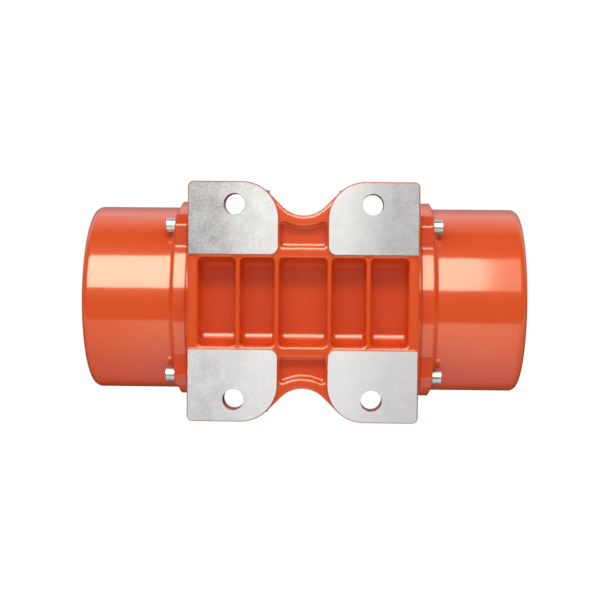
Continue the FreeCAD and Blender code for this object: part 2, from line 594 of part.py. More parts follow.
def make_bearing_flange(side, turn):
    body = new_body(side + "_bearing_flange", turn=turn)
    groove_x = "bearing_x + bearing_half"
    turned(body, "shell", [
        ("hub_inner_x", "shaft_seal_r"), ("hub_inner_x", "hub_r"), ("spigot_inner_x", "hub_r"),
        ("spigot_inner_x", "bore_r"), ("case_half - spigot_depth", "bore_r"),
        ("case_half - spigot_depth", "spigot_r"), ("seal_x", "spigot_r"), ("seal_x", "spigot_r - seal_depth"),
        ("seal_x + seal_width", "spigot_r - seal_depth"), ("seal_x + seal_width", "spigot_r"),
        ("flange_out_x", "spigot_r"), ("flange_out_x", "recess_out_r"), ("recess_x", "recess_out_r"),
        ("recess_x", "recess_in_r"), ("flange_out_x", "recess_in_r"), ("flange_out_x", "bearing_r"),
        (groove_x + " + circlip_width", "bearing_r"), (groove_x + " + circlip_width", "circlip_groove_r"),
        (groove_x, "circlip_groove_r"), (groove_x, "bearing_r"), ("bearing_x - bearing_half", "bearing_r"),
        ("bearing_x - bearing_half", "shaft_seal_r")])
    sketch = new_sketch(body, "hole_plan", "YZ_Plane", lift="flange_out_x")
    circle(sketch, "0", "flange_bolt_r", "m6_hole_r")
    hole = pocket(body, "screw_hole", sketch, "flange_out_x - spigot_inner_x")
    sketch = new_sketch(body, "seat_plan", "YZ_Plane", lift="flange_out_x")
    circle(sketch, "0", "flange_bolt_r", "m6_head_r + 0.4")
    seat = pocket(body, "screw_seat", sketch, "m6_head + 0.4")
    around_x(body, "screw_holes", [hole, seat], "flange_bolt_count")


def make_cover(side, turn):
    body = new_body(side + "_weight_cover", turn=turn)
    sketch = new_sketch(body, "lug_plan", "YZ_Plane", lift="case_half")
    lug_outline(sketch)
    pad(body, "lugs", sketch, "cover_flange")
    rounded(body, "lug_edges", lambda edge: is_along(edge, "x"), "lug_edge_r")
    turned(body, "cup", [
        ("case_half", "0"), ("case_half", "end_flange_r"), ("case_half + cover_flange", "end_flange_r"),
        ("case_half + cover_flange + cover_step", "cover_r"), ("cover_end", "cover_r"), ("cover_end", "0")])
    rounded(body, "rim", is_ring("cover_end", "cover_r"), "cover_rim_r")
    turned(body, "hollow", [
        ("case_half - 1", "0"), ("case_half - 1", "spigot_r + cover_fit"),
        ("cover_lip_x", "spigot_r + cover_fit"), ("cover_lip_x", "cover_r - cover_wall"),
        ("cover_end - cover_wall - 3", "cover_r - cover_wall"), ("cover_end - cover_wall", "cover_r - cover_wall - 3"),
        ("cover_end - cover_wall", "0")], cut=True)
    sketch = new_sketch(body, "hole_plan", "YZ_Plane", lift="case_half + cover_flange")
    circle(sketch, "cover_bolt_r * cos(45)", "cover_bolt_r * sin(45)", "m8_hole_r")
    hole = pocket(body, "screw_hole", sketch, "cover_flange + 1")
    sketch = new_sketch(body, "seat_plan", "YZ_Plane", lift="case_half + cover_flange")
    circle(sketch, "cover_bolt_r * cos(45)", "cover_bolt_r * sin(45)", "m8_head_r + seat_play")
    seat = pocket(body, "screw_seat", sketch, "cover_step + 1", Reversed=True)
    around_x(body, "screw_holes", [hole, seat], "cover_bolt_count")


def make_ring(label, corners, turn):
    """A plain turned piece."""
    body = new_body(label, turn=turn)
    turned(body, "ring", corners)
    return body


def make_circlip(label, face, width, outer, inner, gap, turn, opening="0"):
    """A flat spring ring with a gap at the bottom."""
    body = new_body(label, turn=turn)
    sketch = new_sketch(body, "ring_plan", "YZ_Plane", lift=face)
    circle(sketch, "0", "0", outer)
    circle(sketch, "0", "0", inner)
    pad(body, "ring", sketch, width)
    sketch = new_sketch(body, "gap_plan", "YZ_Plane", lift=face)
    rectangle(sketch, "-%s / 2" % gap, "%s / 2" % gap, "-%s - 1" % outer, "-%s + 1" % inner)
    pocket(body, "gap", sketch, width, Reversed=True)
    return body


def make_bearing(side, turn):
    """Cylindrical roller bearing: two lips on the outer ring, one on the inner ring."""
    low, high = "bearing_x - bearing_half", "bearing_x + bearing_half"
    inner_race, outer_race = "pitch_r - roller_r - race_gap", "pitch_r + roller_r + race_gap"
    lip = "(roller_half + race_gap)"
    make_ring(side + "_bearing_outer_ring", [
        (low, "outer_lip_r"), (low, "bearing_r"), (high, "bearing_r"), (high, "outer_lip_r"),
        ("bearing_x + " + lip, "outer_lip_r"), ("bearing_x + " + lip, outer_race),
        ("bearing_x - " + lip, outer_race), ("bearing_x - " + lip, "outer_lip_r")], turn)
    make_ring(side + "_bearing_inner_ring", [
        (low, "bearing_bore_r"), (low, "inner_lip_r"), ("bearing_x - " + lip, "inner_lip_r"),
        ("bearing_x - " + lip, inner_race), (high, inner_race), (high, "bearing_bore_r")], turn)

    rollers = new_body(side + "_bearing_rollers", turn=turn)
    sketch = new_sketch(rollers, "roller_plan", "YZ_Plane", lift="bearing_x - roller_half")
    circle(sketch, "0", "pitch_r", "roller_r")
    roller = pad(rollers, "roller", sketch, "2 * roller_half")
    around_x(rollers, "set", [roller], "roller_count")

    cage = new_body(side + "_bearing_cage", turn=turn)
    turned(cage, "band", [("bearing_x - cage_half", "cage_in_r"), ("bearing_x - cage_half", "cage_out_r"),
                          ("bearing_x + cage_half", "cage_out_r"), ("bearing_x + cage_half", "cage_in_r")])
    sketch = new_sketch(cage, "window_plan", "YZ_Plane", lift="bearing_x - roller_half - roller_play")
    circle(sketch, "0", "pitch_r", "roller_r + roller_play")
    window = pocket(cage, "window", sketch, "2 * (roller_half + roller_play)", Reversed=True)
    around_x(cage, "windows", [window], "roller_count")


def weight_outline(sketch):
    """An eccentric weight: a wide sector below the shaft and a clamping ear above it."""
    centre, up = FreeCAD.Vector(0, 0, 0), FreeCAD.Vector(0, 0, 1)
    sweep = math.radians(value("weight_sweep"))
    rim = Part.Circle(centre, up, value("weight_r"))
    start, end = -math.pi / 2 - sweep, -math.pi / 2 + sweep
    side_y, side_z = "weight_r * sin(weight_sweep)", "-weight_r * cos(weight_sweep)"
    right_rim, left_rim = vector(side_y, side_z), vector("-" + side_y, side_z)
    right_low, right_top = vector("ear_half", "ear_low"), vector("ear_half", "ear_top")
    left_low, left_top = vector("-ear_half", "ear_low"), vector("-ear_half", "ear_top")
    chain(sketch, [Part.ArcOfCircle(rim, start, end), Part.LineSegment(right_rim, right_low),
                   Part.LineSegment(right_low, right_top), Part.LineSegment(right_top, left_top),
                   Part.LineSegment(left_top, left_low), Part.LineSegment(left_low, left_rim)])
    pin(sketch, 0, 3, "0", "0")
    bind(sketch, "Radius", (0,), "weight_r")
    bind(sketch, "DistanceX", (-1, 1, 1, 1), side_y)
    bind(sketch, "DistanceX", (-1, 1, 5, 2), "-" + side_y)
    pin(sketch, 2, 1, "ear_half", "ear_low")
    pin(sketch, 3, 1, "ear_half", "ear_top")
    pin(sketch, 4, 1, "-ear_half", "ear_top")
    pin(sketch, 5, 1, "-ear_half", "ear_low")


def make_weight(label, start, bore, turn, keyed):
    """A weight that clamps on the shaft: slit ear, cross hole for its screw, and a keyway if it is fixed."""
    body = new_body(label, turn=turn)
    sketch = new_sketch(body, "plan", "YZ_Plane", lift=start)
    weight_outline(sketch)
    circle(sketch, "0", "0", bore)
    pad(body, "plate", sketch, "weight_width")
    sketch = new_sketch(body, "slit_plan", "YZ_Plane", lift=start)
    rectangle(sketch, "-weight_slit", "weight_slit", "shaft_end_r - 2", "ear_top + 1")
    pocket(body, "slit", sketch, "weight_width", Reversed=True)
    if keyed:
        sketch = new_sketch(body, "keyway_plan", "YZ_Plane", lift=start)
        rectangle(sketch, "-key_half", "key_half", "-key_out", "-key_in")
        pocket(body, "keyway", sketch, "weight_width", Reversed=True)
    sketch = new_sketch(body, "screw_plan", "XZ_Plane", lift="-ear_half - 1")
    circle(sketch, start + " + weight_width / 2", "clamp_height", "m10_r + m10_play")
    pocket(body, "screw_hole", sketch, "2 * ear_half + 2", Reversed=True)
    return body


def make_clamp_screw(label, start, turn):
    """The M10 socket-head screw across a weight's ear, along Y."""
    body = new_body(label, turn=turn)
    along = start + " + weight_width / 2"
    sketch = new_sketch(body, "shank_plan", "XZ_Plane", lift="-ear_half")
    circle(sketch, along, "clamp_height", "m10_r")
    pad(body, "shank", sketch, "m10_length")
    sketch = new_sketch(body, "head_plan", "XZ_Plane", lift="-ear_half")
    circle(sketch, along, "clamp_height", "m10_head_r")
    pad(body, "head", sketch, "m10_head", Reversed=True)
    sketch = new_sketch(body, "socket_plan", "XZ_Plane", lift="-ear_half - m10_head")
    hexagon(sketch, along, "clamp_height", "m10_hex")
    pocket(body, "socket", sketch, "m10_head / 2", Reversed=True)
    return body


def make_weight_key(side, turn):
    body = new_body(side + "_weight_key", turn=turn)
    sketch = new_sketch(body, "key_plan", "YZ_Plane", lift="fixed_weight_x + key_margin")
    rectangle(sketch, "-key_half", "key_half", "-key_out", "-key_in")
    pad(body, "key", sketch, "weight_width - 2 * key_margin")


def make_end(side, turn):
    """Every piece of one end, from the casting's face outwards."""
    make_bearing_flange(side, turn)
    socket_screws(side + "_flange_screws", "m6", "flange_bolt_r", "flange_out_x - m6_head - 0.4",
                  "flange_bolt_count", turn=turn)
    make_cover(side, turn)
    socket_screws(side + "_cover_screws", "m8", "cover_bolt_r", "case_half + cover_flange",
                  "cover_bolt_count", turn=turn, tilt=45)
    make_ring(side + "_cover_seal", [
        ("seal_x", "spigot_r - seal_depth"), ("seal_x", "spigot_r + cover_fit"),
        ("seal_x + seal_width", "spigot_r + cover_fit"), ("seal_x + seal_width", "spigot_r - seal_depth")], turn)
    make_bearing(side, turn)
    make_circlip(side + "_bearing_circlip", "bearing_x + bearing_half", "circlip_width", "circlip_groove_r",
                 "circlip_in_r", "circlip_gap", turn)
    seal_end = "hub_inner_x + 0.5 + shaft_seal_width"
    make_ring(side + "_shaft_seal", [
        ("hub_inner_x + 0.5", "seal_lip_r"), ("hub_inner_x + 0.5", "shaft_seal_r"), (seal_end, "shaft_seal_r"),
        (seal_end, "shaft_seal_r - shaft_seal_wall"),
        ("hub_inner_x + 0.5 + shaft_seal_wall", "shaft_seal_r - shaft_seal_wall"),
        ("hub_inner_x + 0.5 + shaft_seal_wall", "seal_lip_r + shaft_seal_wall"),
        (seal_end + " - shaft_seal_wall", "seal_lip_r")], turn)
    make_ring(side + "_spacer_ring", [("spacer_start", "shaft_end_r + 2.5"), ("spacer_start", "spacer_r"),
                                      ("spacer_end", "spacer_r"), ("spacer_end", "shaft_end_r"),
                                      ("shaft_journal_end", "shaft_end_r"),
                                      ("shaft_journal_end", "shaft_end_r + 2.5")], turn)
    make_weight(side + "_fixed_weight", "fixed_weight_x", "shaft_end_r", turn, keyed=True)
    make_weight_key(side, turn)
    make_clamp_screw(side + "_fixed_weight_screw", "fixed_weight_x", turn)
    make_weight(side + "_adjustable_weight", "adjustable_weight_x", "shaft_end_r + weight_play", turn, keyed=False)
    make_clamp_screw(side + "_adjustable_weight_screw", "adjustable_weight_x", turn)
    make_circlip(side + "_shaft_circlip", "shaft_clip_x", "shaft_clip_width", "shaft_clip_r",
                 "shaft_clip_groove_r", "shaft_clip_gap", turn)


# ---------------------------------------------------------------- rotor and stator

def make_shaft():
    body = new_body("shaft")
    steps = [("shaft_half", "shaft_end_r - shaft_chamfer"), ("shaft_half - shaft_chamfer", "shaft_end_r"),
             ("shaft_clip_x + shaft_clip_width", "shaft_end_r"),
             ("shaft_clip_x + shaft_clip_width", "shaft_clip_groove_r"), ("shaft_clip_x", "shaft_clip_groove_r"),
             ("shaft_clip_x", "shaft_end_r"), ("shaft_journal_end", "shaft_end_r"),
             ("shaft_journal_end", "bearing_bore_r"), ("shaft_mid_half", "bearing_bore_r"),
             ("shaft_mid_half", "shaft_mid_r")]
    left = [("-(%s)" % along, radius) for along, radius in steps]
    turned(body, "steps", [("-shaft_half", "0"), ("shaft_half", "0")] + steps + left[::-1])
    sketch = new_sketch(body, "keyway_plan", "YZ_Plane", lift="fixed_weight_x + key_margin")
    rectangle(sketch, "-key_half", "key_half", "-shaft_end_r - 1", "-key_in")
    keyway = pocket(body, "keyway", sketch, "weight_width - 2 * key_margin", Reversed=True)
    mirrored(body, "keyways", [keyway], "YZ_Plane")


def make_rotor():
    core = new_body("rotor_core")
    sketch = new_sketch(core, "ring_plan", "YZ_Plane", lift="-core_half")
    circle(sketch, "0", "0", "rotor_r")
    circle(sketch, "0", "0", "shaft_mid_r")
    pad(core, "stack", sketch, "2 * core_half")
    sketch = new_sketch(core, "bar_plan", "YZ_Plane", lift="-core_half")
    rectangle(sketch, "-bar_half", "bar_half", "bar_in_r", "bar_out_r")
    slot = pocket(core, "bar_slot", sketch, "2 * core_half", Reversed=True)
    around_x(core, "bar_slots", [slot], "bar_count")

    cage = new_body("rotor_cage")
    sketch = new_sketch(cage, "bar_plan", "YZ_Plane", lift="-core_half")
    rectangle(sketch, "-bar_half", "bar_half", "bar_in_r", "bar_out_r")
    bar = pad(cage, "bar", sketch, "2 * core_half")
    around_x(cage, "bars", [bar], "bar_count")
    ring = [("core_half", "end_ring_in_r"), ("core_half", "end_ring_r"),
            ("core_half + end_ring_width", "end_ring_r - 1.5"), ("core_half + end_ring_width", "end_ring_in_r + 1.5")]
    turned(cage, "right_end_ring", ring)
    turned(cage, "left_end_ring", [("-(%s)" % along, radius) for along, radius in ring])


def slot_corners(shrink):
    """A stator slot from the bore outwards; a winding fills all but its mouth."""
    mouth, inner, outer = "slot_mouth_half", "(slot_in_half - %s)" % shrink, "(slot_out_half - %s)" % shrink
    low = [("-" + inner, "slot_mouth_r + 1.6"), ("-" + outer, "slot_out_r - %s" % shrink),
           (outer, "slot_out_r - %s" % shrink), (inner, "slot_mouth_r + 1.6")]
    if shrink:
        return low
    return low + [(mouth, "slot_mouth_r"), (mouth, "stator_r - 1"), ("-" + mouth, "stator_r - 1"),
                  ("-" + mouth, "slot_mouth_r")]


def make_stator():
    core = new_body("stator_core")
    sketch = new_sketch(core, "ring_plan", "YZ_Plane", lift="-core_half")
    circle(sketch, "0", "0", "bore_r")
    circle(sketch, "0", "0", "stator_r")
    pad(core, "stack", sketch, "2 * core_half")
    sketch = new_sketch(core, "slot_plan", "YZ_Plane", lift="-core_half")
    polygon(sketch, slot_corners(0))
    slot = pocket(core, "slot", sketch, "2 * core_half", Reversed=True)
    around_x(core, "slots", [slot], "slot_count")

    winding = new_body("stator_winding")
    sketch = new_sketch(winding, "coil_plan", "YZ_Plane", lift="-core_half")
    polygon(sketch, slot_corners(0.3))
    coil = pad(winding, "coil", sketch, "2 * core_half")
    around_x(winding, "coils", [coil], "slot_count")
    end = "core_half + coil_overhang"
    bundle = [("core_half", "coil_in_r + 1"), ("core_half + coil_round", "coil_in_r"),
              (end + " - coil_round", "coil_in_r"), (end, "coil_in_r + coil_round"),
              (end, "coil_out_r - coil_round"), (end + " - coil_round", "coil_out_r"),
              ("core_half + coil_round", "coil_out_r"), ("core_half", "slot_out_r - 1")]
    turned(winding, "right_bundle", bundle)
    turned(winding, "left_bundle", [("-(%s)" % along, radius) for along, radius in bundle])


# ---------------------------------------------------------------- terminal box contents

def lid_plate(body, name, lift, over, thickness):
    sketch = new_sketch(body, name + "_plan", "XY_Plane", lift=lift)
    rectangle(sketch, "-box_half_x - " + over, "box_half_x + " + over, "-box_half_y - " + over, "box_half_y + " + over)
    return pad(body, name, sketch, thickness)


def lid_holes(body, lift, depth):
    sketch = new_sketch(body, "hole_plan", "XY_Plane", lift=lift)
    circle(sketch, BOX_SCREW_X, BOX_SCREW_Y, "m6_hole_r")
    hole = pocket(body, "screw_hole", sketch, depth, Reversed=True)
    four_ways(body, "screw_holes", [hole])


def make_terminal_lid():
    gasket = new_body("terminal_gasket", "0")
    lid_plate(gasket, "sheet", "box_top", "0", "gasket")
    rounded(gasket, "corners", is_upright, "box_corner_r")
    sketch = new_sketch(gasket, "window_plan", "XY_Plane", lift="box_top")
    box_inside_outline(sketch)
    pocket(gasket, "window", sketch, "gasket", Reversed=True)
    lid_holes(gasket, "box_top", "gasket")

    lid = new_body("terminal_cover", "0")
    lid_plate(lid, "plate", "box_top + gasket", "lid_over", "lid")
    rounded(lid, "corners", is_upright, "box_corner_r + lid_over")
    sketch = new_sketch(lid, "panel_plan", "XY_Plane", lift="box_top + gasket + lid")
    rectangle(sketch, "lid_pad_inset - box_half_x", "box_half_x - lid_pad_inset",
              "lid_pad_inset / 2 - box_half_y", "box_half_y - lid_pad_inset / 2")
    pad(lid, "panel", sketch, "lid_pad")
    top = value("box_top + gasket + lid")
    rounded(lid, "edges", lambda edge: abs(middle(edge).z - top) < 0.01 and len(edge.Vertexes) == 2
            and (abs(middle(edge).x) > value("box_half_x - lid_pad_inset") + 1
                 or abs(middle(edge).y) > value("box_half_y")), "lid_edge_r")
    lid_holes(lid, "box_top + gasket", "lid + lid_pad")
    upright_screws("terminal_cover_screws", "m6", (BOX_SCREW_X, BOX_SCREW_Y), "box_top + gasket + lid")


def make_terminals():
    block = new_body("terminal_block", "0")
    sketch = new_sketch(block, "block_plan", "XY_Plane", lift="box_floor")
    rectangle(sketch, "-block_half_x", "block_half_x", "-block_half_y", "block_half_y")
    pad(block, "base", sketch, "block_height")
    sketch = new_sketch(block, "barrier_plan", "XY_Plane", lift="box_floor + block_height")
    for place in ("-stud_x / 2", "stud_x / 2"):
        rectangle(sketch, place + " - 0.8", place + " + 0.8", "-block_half_y", "block_half_y")
    pad(block, "barriers", sketch, "block_height / 2")

    studs = new_body("terminal_studs", "0")
    shapes = []
    for name, radius, lift, length in (("stud", "stud_r", "box_floor + block_height", "stud_top - block_height"),
                                       ("nut", "nut_r", "box_floor + block_height", "nut_height")):
        sketch = new_sketch(studs, name + "_plan", "XY_Plane", lift=lift)
        for across in ("-stud_x", "0", "stud_x"):
            for up in ("-stud_y", "stud_y"):
                draw = hexagon if name == "nut" else circle
                draw(sketch, across, up, radius)
        shapes.append(pad(studs, name, sketch, length))

    earth = new_body("earth_screw", "0")
    sketch = new_sketch(earth, "head_plan", "XY_Plane", lift="box_floor")
    hexagon(sketch, "-earth_x", "0", "earth_head_r")
    pad(earth, "head", sketch, "earth_height")
    sketch = new_sketch(earth, "stud_plan", "XY_Plane", lift="box_floor")
    circle(sketch, "-earth_x", "0", "earth_r")
    pad(earth, "stud", sketch, "2 * earth_height")


def make_gland():
    face = "box_half_x + gland_boss"
    shoulder = face + " + gland_hex"
    body = new_body("gland_body", "gland_z")
    turned(body, "tube", [("box_half_x - box_wall", "gland_bore_r"), ("box_half_x - box_wall", "gland_r"),
                          (face, "gland_r"), (face, "gland_neck_r"), (shoulder + " + gland_neck", "gland_neck_r"),
                          (shoulder + " + gland_neck", "gland_seal_out_r"), (shoulder, "gland_seal_out_r"),
                          (shoulder, "gland_bore_r")])
    sketch = new_sketch(body, "hex_plan", "YZ_Plane", lift=face)
    hexagon(sketch, "0", "0", "gland_hex_r")
    circle(sketch, "0", "0", "gland_neck_r - 0.5")
    pad(body, "hex", sketch, "gland_hex")

    make_ring("gland_seal", [(shoulder, "gland_seal_in_r"), (shoulder, "gland_seal_out_r"),
                             (shoulder + " + gland_neck", "gland_seal_out_r"),
                             (shoulder + " + gland_neck", "gland_seal_in_r")], 0).setExpression(
        ".Placement.Base.z", formula("gland_z"))

    nut = new_body("gland_nut", "gland_z")
    low, high = shoulder + " + 0.5", shoulder + " + gland_nut"
    sketch = new_sketch(nut, "hex_plan", "YZ_Plane", lift=low)
    hexagon(sketch, "0", "0", "gland_nut_r")
    circle(sketch, "0", "0", "gland_neck_r")
    pad(nut, "hex", sketch, "gland_neck - 1")
    turned(nut, "dome", [(shoulder + " + gland_neck - 1", "gland_neck_r"),
                         (shoulder + " + gland_neck - 1", "gland_nut_r * cos(30)"),
                         (high + " - 2", "gland_neck_r + 0.5"), (high, "gland_neck_r - 1.5"),
                         (high, "gland_bore_r - 0.5"), (shoulder + " + gland_neck", "gland_bore_r - 0.5"),
                         (shoulder + " + gland_neck", "gland_neck_r")])


# ---------------------------------------------------------------- whole motor

make_housing()
for side, turn in SIDES:
    make_end(side, turn)
make_shaft()
make_rotor()
make_stator()
make_terminal_lid()
make_terminals()
make_gland()
doc.recompute()

for item in doc.Objects:
    if "Invalid" in item.State or "Error" in item.State:
        raise ValueError("%s failed: %s" % (item.Name, item.State))
os.makedirs("parts", exist_ok=True)
for body in parts:
    if body.Shape.isNull() or not body.Shape.isValid():
        raise ValueError(body.Label + " has no valid shape")
    body.Shape.exportStep("parts/%s.step" % body.Label)
print("%d nodes written" % len(parts))
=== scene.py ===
import json
import math

import bpy
from mathutils import Matrix, Vector

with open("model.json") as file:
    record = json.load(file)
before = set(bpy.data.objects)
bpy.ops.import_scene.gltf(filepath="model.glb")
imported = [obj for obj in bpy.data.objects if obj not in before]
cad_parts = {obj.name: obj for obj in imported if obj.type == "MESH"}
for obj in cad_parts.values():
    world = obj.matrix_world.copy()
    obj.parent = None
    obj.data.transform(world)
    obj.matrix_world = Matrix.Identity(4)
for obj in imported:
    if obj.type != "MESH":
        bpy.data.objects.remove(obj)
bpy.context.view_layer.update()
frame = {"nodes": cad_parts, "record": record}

# The motor stands on its feet at z = 0. The camera is underneath and looks up at the machined feet, with
# the top of the picture towards -Y. Everything is in metres.

SHAFT_Z = 0.105

# camera
LENS = 72.7
CAMERA_DISTANCE = 1.051
CAMERA_OFFSET = (0.0024, -0.0022)
CAMERA_LEAN = (-0.036, 0.027, 0.010)

# Two softboxes below the motor stand at one distance from the shaft, each at an angle off straight down.
LAMP_DISTANCE = 1.2
# The wide one only shines in the gloss. It is in strips along the shaft that get weaker towards +X: where
# each starts and ends, and its radiance.
GLOSS_ANGLE, GLOSS_HEIGHT = math.radians(33), 0.88
GLOSS_STRIPS = ((-0.80, 0.10, 8.8), (0.10, 0.31, 7.6), (0.31, 0.60, 1.8))
GLOSS_COLOUR = (1.0, 0.98, 0.74)
# the narrow one throws the shadows, and a large one above lights the upper side
KEY_ANGLE, KEY_SIZE, KEY_RADIANCE = math.radians(44), (1.3, 0.21), 7.9
TOP_PLACE, TOP_SIZE, TOP_RADIANCE = (0, -0.5, 1.7), (1.6, 1.6), 1.6
# the light from all round, and how much stronger it is towards +Y
AMBIENT, AMBIENT_LEAN = 0.68, 0.22
# what the gloss reflects, by the angle round the shaft from straight down, positive towards -Y
SURROUNDINGS = (
    (-180, (0.02, 0.02, 0.02)), (-140, (0.03, 0.03, 0.03)), (-118, (0.26, 0.22, 0.32)),
    (-100, (0.55, 0.48, 0.62)), (-60, (1.32, 1.30, 1.00)), (-28, (1.76, 1.74, 1.28)),
    (-26, (0.04, 0.04, 0.04)), (55, (0.05, 0.05, 0.05)), (92, (0.06, 0.06, 0.06)),
    (98, (0.55, 0.44, 0.32)), (112, (0.90, 0.85, 0.72)), (130, (1.00, 0.98, 1.10)),
    (145, (0.45, 0.42, 0.42)), (180, (0.10, 0.10, 0.10)))
BRIGHTEST = 2.0
# on the +Y side they fall to this share where the direction slants this much along the shaft
SIDE_FALL, SIDE_LEVEL = (0.13, 0.19), 0.45
FLOOR_SIZE, FLOOR_Z, FLOOR_GRAIN, FLOOR_ROUGHNESS = 60, -0.0006, 0.4, 0.6
FLOOR_TONES = ((0.90, 0.90, 0.90, 1), (0.93, 0.93, 0.93, 1))


# ---------------------------------------------------------------- node helpers

# the places of a Mix node's two inputs and its output, by the kind of data
MIX_SLOTS = {"FLOAT": (2, 3, 0), "VECTOR": (4, 5, 1), "RGBA": (6, 7, 2)}


def new_material(name):
    material = bpy.data.materials.new(name)
    material.use_nodes = True
    return material, material.node_tree, material.node_tree.nodes["Principled BSDF"]


def link(tree, source, target):
    """Feed a socket from another socket, or set it to a plain value."""
    if isinstance(source, bpy.types.NodeSocket):
        tree.links.new(source, target)
    else:
        target.default_value = source


def compute(tree, operation, *values):
    node = tree.nodes.new("ShaderNodeMath")
    node.operation = operation
    for slot, content in enumerate(values):
        link(tree, content, node.inputs[slot])
    return node.outputs[0]


def mix(tree, factor, first, second, kind="RGBA"):
    """A colour, number or vector between two of them."""
    node = tree.nodes.new("ShaderNodeMix")
    node.data_type = kind
    first_slot, second_slot, result_slot = MIX_SLOTS[kind]
    link(tree, factor, node.inputs["Factor"])
    link(tree, first, node.inputs[first_slot])
    link(tree, second, node.inputs[second_slot])
    return node.outputs[result_slot]


def remap(tree, content, low, high, to_low, to_high):
    node = tree.nodes.new("ShaderNodeMapRange")
    for name, number in (("From Min", low), ("From Max", high), ("To Min", to_low), ("To Max", to_high)):
        node.inputs[name].default_value = number
    link(tree, content, node.inputs["Value"])
    return node.outputs["Result"]


def place(tree, stretch=(1, 1, 1)):
    """Object coordinates, stretched along the axes."""
    coordinates = tree.nodes.new("ShaderNodeTexCoord")
    mapping = tree.nodes.new("ShaderNodeMapping")
    mapping.inputs["Scale"].default_value = stretch
    tree.links.new(coordinates.outputs["Object"], mapping.inputs["Vector"])
    return mapping.outputs["Vector"]


def noise(tree, grain, detail=3.0, stretch=(1, 1, 1), roughness=0.5):
    """Noise from 0 to 1 whose grains are about that many metres across."""
    node = tree.nodes.new("ShaderNodeTexNoise")
    node.inputs["Scale"].default_value = 1 / grain
    node.inputs["Detail"].default_value = detail
    node.inputs["Roughness"].default_value = roughness
    tree.links.new(place(tree, stretch), node.inputs["Vector"])
    return node.outputs["Fac"]


def bump(tree, height, depth, normal=None):
    node = tree.nodes.new("ShaderNodeBump")
    node.inputs["Distance"].default_value = depth
    tree.links.new(height, node.inputs["Height"])
    if normal:
        tree.links.new(normal, node.inputs["Normal"])
    return node.outputs["Normal"]


def soft_edges(tree, radius):
    """The normal of the surface with its edges rounded."""
    node = tree.nodes.new("ShaderNodeBevel")
    node.samples = 6
    node.inputs["Radius"].default_value = radius
    return node.outputs["Normal"]


def own_place(tree):
    """The three object coordinates of the point."""
    coordinates = tree.nodes.new("ShaderNodeTexCoord")
    split = tree.nodes.new("ShaderNodeSeparateXYZ")
    tree.links.new(coordinates.outputs["Object"], split.inputs[0])
    return split.outputs


def near_edge(tree, normal):
    """0 on open surface, up to 1 where a rounded normal turns away, between the cosines of RIM_TURN."""
    geometry = tree.nodes.new("ShaderNodeNewGeometry")
    product = tree.nodes.new("ShaderNodeVectorMath")
    product.operation = "DOT_PRODUCT"
    tree.links.new(normal, product.inputs[0])
    tree.links.new(geometry.outputs["True Normal"], product.inputs[1])
    return remap(tree, product.outputs["Value"], *RIM_TURN, 0, 1)


# ---------------------------------------------------------------- materials

# what nearly all of a noise lies between
NOISE_RANGE = (0.3, 0.7)
ORANGE = (0.81, 0.090, 0.014, 1)
DEEP_ORANGE = (0.77, 0.080, 0.011, 1)
ENAMEL_SPECULAR, COAT_ROUGHNESS, COAT_IOR = 0.2, 0.09, 1.6
# the grains of the enamel's tone, gloss and waviness, in metres, and how rough it is under its coat
TONE_GRAIN, GLOSS_GRAIN, WAVE_GRAIN, ENAMEL_ROUGHNESS = 0.06, 0.02, 0.009, (0.28, 0.34)
WAVE_DEPTH, CAST_WAVE_DEPTH = 0.00003, 0.00005
# The light and dark ends of the machined pads' tone, by side: mottled towards -Y, bright and even towards
# +Y, with a change from one to the other between these places along Y.
PADS_FRONT = ((0.55, 0.54, 0.59, 1), (0.27, 0.267, 0.29, 1))
PADS_REAR = ((0.72, 0.71, 0.765, 1), (0.51, 0.505, 0.54, 1))
PAD_SIDES = (-0.02, 0.02)
# the grains of the pads' blotches and scratches, and the noise levels that give the light and the dark end
BLOTCH_GRAIN, SCRATCH_GRAIN, MOTTLE = 0.013, 0.0016, (0.36, 0.62)
PAD_ROUGHNESS = (0.5, 0.65)
# The pads towards +X are scratched less, those towards -Y are stained near -X, and all are lighter
# beside the scallops. Each change lies between two places along the shaft and goes as far as its share.
SCRATCHED, LEAST_SCRATCHED = (-0.03, 0.04), 0.45
STAINED, LEAST_CLEAN = (-0.055, -0.105), 0.72
LIGHTER_INSIDE, MOST_LIGHTENED, PAD_INNER_TONE = (0.078, 0.036), 0.45, (0.90, 0.89, 0.95, 1)
# The pads' edges get a dark rim, painted shade along the step from pad to casting, broken up in places by
# noise.
PAD_RIM_SHADE = (0.07, 0.02, 0.018, 1)
RIM_TURN, RIM_BREAK_GRAIN, RIM_BREAK, LEAST_RIM = (0.995, 0.86), 0.003, (0.35, 0.6), 0.35
# the enamel starts this far above the pads, and its edge wanders by this much
PAD_TOP, PAD_RAGGED, RAGGED_GRAIN = 0.00012, 0.0003, 0.002
PAD_METALLIC = 0.25
# Painted shade in the gloss: the enamel's coat is taken away in the coves deep in the pockets, all of
# each cove towards -Y and the outer half towards +Y. The pairs are places along Y, and heights.
COVES_FRONT, COVES_REAR = (-0.024, -0.028), (0.0310, 0.0322)
POCKET_SIDE, POCKET_DEPTH, COVE_SHADE = (0.0405, 0.0395), (0.012, 0.018), 0.95
# how far edges are rounded: enamel, machined pads, the rim of the pads, and small pieces
ENAMEL_EDGE, MACHINED_EDGE, RIM_EDGE, SMALL_EDGE = 0.0028, 0.0005, 0.0009, 0.0004
FINE_GRAIN_DEPTH, LAYER_DEPTH = 0.00002, 0.00005
# the grains of the smaller pieces' tones and surfaces
PATCH_GRAIN, PATCH_RANGE = 0.012, (0.35, 0.65)
MOULD_GRAIN, MOULD_TONE_GRAIN = 0.0008, 0.01


